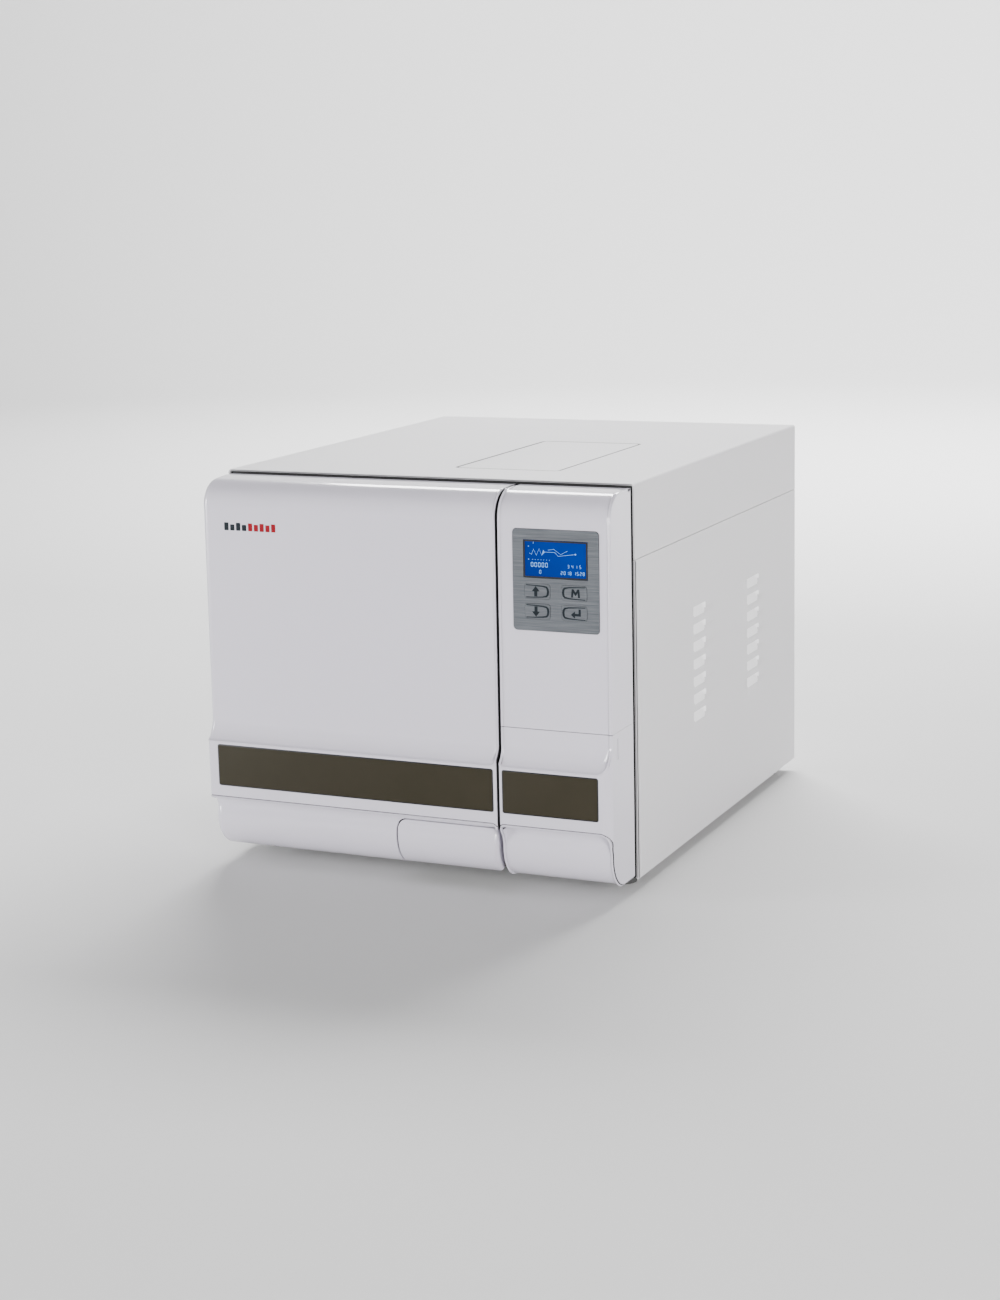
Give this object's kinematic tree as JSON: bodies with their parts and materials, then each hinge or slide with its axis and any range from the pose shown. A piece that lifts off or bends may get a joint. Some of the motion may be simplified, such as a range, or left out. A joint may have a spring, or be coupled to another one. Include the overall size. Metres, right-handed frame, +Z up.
{
  "type": "benchtop autoclave",
  "caption": "Benchtop steam autoclave: white sheet-metal cabinet, moulded front with hinged door over a round pressure chamber, control panel, service flap and top filling hatch.",
  "frame": {"origin": "middle of the bounding box, at the soles of the feet", "axes": "+Z up, +Y from the front to the back, +X to the right as seen from the front"},
  "size_m": [0.445, 0.59, 0.404],
  "materials": {
    "white_metal": "fine white powder coat, satin",
    "white_plastic": "cool white moulded plastic, glossy",
    "smoked_plastic": "dark smoked strip, glossy",
    "black_rubber": "matt",
    "bare_steel": "plain steel, light grain",
    "polished_steel": "stainless, fine polish",
    "brushed_plate": "brushed, grey anodised",
    "display_glass": "blue lit display under a clear window",
    "circuit_board": "green solder mask",
    "insulation": "pressed fibre blanket",
    "silicone": "white silicone",
    "dark_plastic": "moulded, fine grain",
    "natural_plastic": "natural polypropylene",
    "red_plastic": "rocker",
    "blue_plastic": "valve knob"
  },
  "bodies": {
    "cabinet": {"air_filter": "white_plastic", "base_pan": "white_metal", "chamber_flange": "polished_steel", "chamber_vessel": "polished_steel", "condenser": "bare_steel", "control_board": "circuit_board", "control_plate": "brushed_plate", "door_hinge_pin": "polished_steel", "drain_valves": "bare_steel", "fan_frame": "dark_plastic", "flap_hinge_bracket": "bare_steel", "foot_front_left": "black_rubber", "foot_front_right": "black_rubber", "foot_rear_left": "black_rubber", "foot_rear_right": "black_rubber", "front_bulkhead": "bare_steel", "hinge_bracket_lower": "bare_steel", "hinge_bracket_upper": "bare_steel", "hose_outlets": "bare_steel", "insulation_jacket": "insulation", "lcd_window": "display_glass", "left_side_panel": "white_metal", "lock_solenoid": "dark_plastic", "mains_inlet": "dark_plastic", "pump_motor": "bare_steel", "rear_panel": "white_metal", "right_side_panel": "white_metal", "right_upper_panel": "white_plastic", "service_plate": "dark_plastic", "steam_generator": "bare_steel", "top_cover": "white_metal", "tray_lower": "polished_steel", "tray_middle": "polished_steel", "tray_rack": "polished_steel", "tray_upper": "polished_steel", "vacuum_pump": "dark_plastic", "water_tank": "natural_plastic"},
    "door": {"door_cover": "white_plastic", "door_liner": "white_plastic", "door_disc": "polished_steel", "door_gasket": "silicone", "door_yoke": "bare_steel", "door_strip": "smoked_plastic", "hinge_leaf_lower": "bare_steel", "hinge_leaf_upper": "bare_steel"},
    "handle": {"door_handle": "white_plastic"},
    "hook": {"latch_hook": "bare_steel"},
    "lock": {"lock_bolt": "polished_steel"},
    "flap": {"service_flap": "white_plastic", "flap_strip": "smoked_plastic", "flap_hinge_leaf": "bare_steel"},
    "hatch": {"tank_hatch": "white_metal"},
    "button_up": {"key_up": "brushed_plate"},
    "button_menu": {"key_menu": "brushed_plate"},
    "button_down": {"key_down": "brushed_plate"},
    "button_enter": {"key_enter": "brushed_plate"},
    "rocker": {"power_rocker": "red_plastic"},
    "clean_knob": {"knob_clean_drain": "blue_plastic"},
    "waste_knob": {"knob_waste_drain": "dark_plastic"},
    "fan": {"fan_rotor": "dark_plastic"}
  },
  "joints": [
    {"name": "door_hinge", "type": "hinge", "parent": "cabinet", "child": "door", "pos_m": [-0.212, -0.239, 0.238], "axis": [0, 0, -1], "range_deg": [0, 105]},
    {"name": "handle_pull", "type": "hinge", "parent": "door", "child": "handle", "pos_m": [-0.0105, -0.285, 0.043], "axis": [0, 0, -1], "range_deg": [0, 20], "stiffness_Nm_per_rad": 0.5},
    {"name": "latch_hook_turn", "type": "hinge", "parent": "door", "child": "hook", "pos_m": [0.07, -0.247, 0.041], "axis": [0, 0, 1], "range_deg": [0, 8]},
    {"name": "lock_bolt_slide", "type": "slide", "parent": "cabinet", "child": "lock", "axis": [-1, 0, 0], "range_m": [0, 0.0105], "stiffness_N_per_m": 60},
    {"name": "service_flap_hinge", "type": "hinge", "parent": "cabinet", "child": "flap", "pos_m": [0.212, -0.239, 0.093], "axis": [0, 0, 1], "range_deg": [0, 95]},
    {"name": "tank_hatch_hinge", "type": "hinge", "parent": "cabinet", "child": "hatch", "pos_m": [0.059, 0.072, 0.404], "axis": [-1, 0, 0], "range_deg": [0, 100]},
    {"name": "key_up_press", "type": "slide", "parent": "cabinet", "child": "button_up", "axis": [0, 0.9999, -0.0128], "range_m": [0, 0.0005], "stiffness_N_per_m": 800},
    {"name": "key_menu_press", "type": "slide", "parent": "cabinet", "child": "button_menu", "axis": [0, 0.9999, -0.0128], "range_m": [0, 0.0005], "stiffness_N_per_m": 800},
    {"name": "key_down_press", "type": "slide", "parent": "cabinet", "child": "button_down", "axis": [0, 0.9999, -0.0128], "range_m": [0, 0.0005], "stiffness_N_per_m": 800},
    {"name": "key_enter_press", "type": "slide", "parent": "cabinet", "child": "button_enter", "axis": [0, 0.9999, -0.0128], "range_m": [0, 0.0005], "stiffness_N_per_m": 800},
    {"name": "power_rocker_tilt", "type": "hinge", "parent": "cabinet", "child": "rocker", "pos_m": [0.145, -0.227, 0.133], "axis": [-1, 0, 0], "range_deg": [0, 14]},
    {"name": "clean_drain_turn", "type": "hinge", "parent": "cabinet", "child": "clean_knob", "pos_m": [0.131, -0.245, 0.053], "axis": [0, 1, 0], "range_deg": [0, 90]},
    {"name": "waste_drain_turn", "type": "hinge", "parent": "cabinet", "child": "waste_knob", "pos_m": [0.159, -0.245, 0.053], "axis": [0, 1, 0], "range_deg": [0, 90]},
    {"name": "fan_spin", "type": "hinge", "parent": "cabinet", "child": "fan", "pos_m": [0.15, 0.266, 0.328], "axis": [0, 1, 0], "continuous": true}
  ],
  "couplings": [
    {"joint": "latch_hook_turn", "follows": "handle_pull", "ratio": 0.4}
  ]
}
